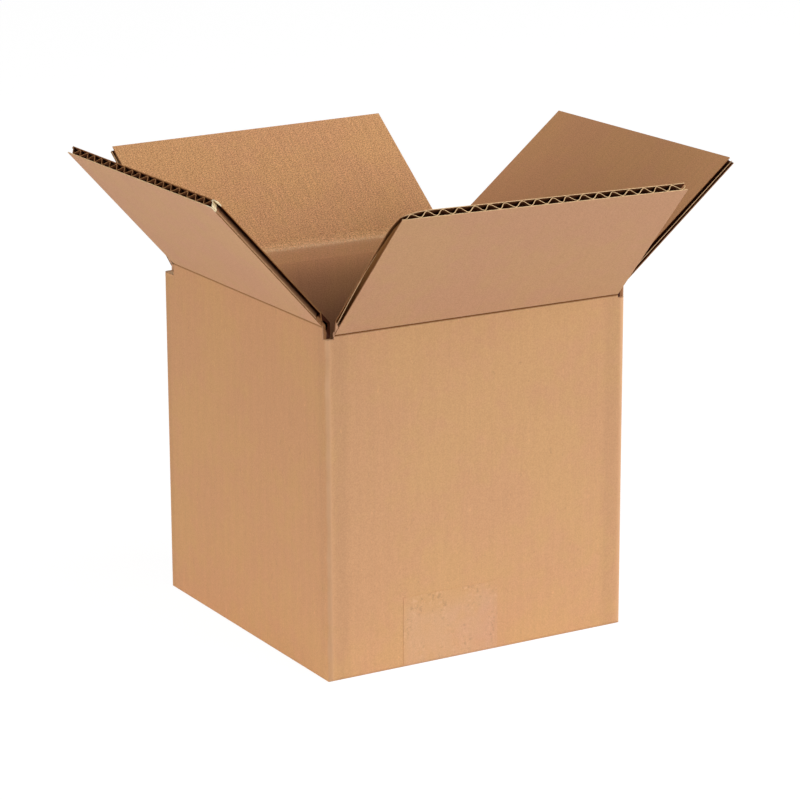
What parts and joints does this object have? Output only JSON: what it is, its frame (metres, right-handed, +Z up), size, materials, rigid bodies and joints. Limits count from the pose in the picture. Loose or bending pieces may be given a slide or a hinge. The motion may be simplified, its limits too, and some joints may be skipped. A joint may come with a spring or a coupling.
{
  "type": "open cardboard box",
  "caption": "Plain corrugated slotted carton standing open, with hinged top flaps, folded bottom flaps and a strip of tape along the bottom seam.",
  "frame": {"origin": "on the floor, under the middle of the box", "axes": "+X to the right along the front wall, +Y from the front wall to the back wall, +Z up"},
  "size_m": [0.2756, 0.2803, 0.2286],
  "materials": {
    "kraft_board": "uncoated brown kraft liner, matt, faintly mottled, with fluted cut edges",
    "tape": "clear packing tape, slightly glossy, with small trapped air marks"
  },
  "bodies": {
    "carton": {"box_body": "kraft_board", "bottom_tape": "tape"},
    "front_flap": {"flap_front": "kraft_board"},
    "back_flap": {"flap_back": "kraft_board"},
    "left_flap": {"flap_left": "kraft_board"},
    "right_flap": {"flap_right": "kraft_board"}
  },
  "joints": [
    {"name": "front_flap_hinge", "type": "hinge", "parent": "carton", "child": "front_flap", "pos_m": [0, -0.08035, 0.16235], "axis": [1, 0, 0], "range_deg": [-132.5, 127.5]},
    {"name": "back_flap_hinge", "type": "hinge", "parent": "carton", "child": "back_flap", "pos_m": [0, 0.08035, 0.16235], "axis": [-1, 0, 0], "range_deg": [-145.5, 114.5]},
    {"name": "left_flap_hinge", "type": "hinge", "parent": "carton", "child": "left_flap", "pos_m": [-0.08035, 0, 0.1665], "axis": [0, -1, 0], "range_deg": [-132, 128]},
    {"name": "right_flap_hinge", "type": "hinge", "parent": "carton", "child": "right_flap", "pos_m": [0.08035, 0, 0.1665], "axis": [0, 1, 0], "range_deg": [-140.5, 119.5]}
  ]
}
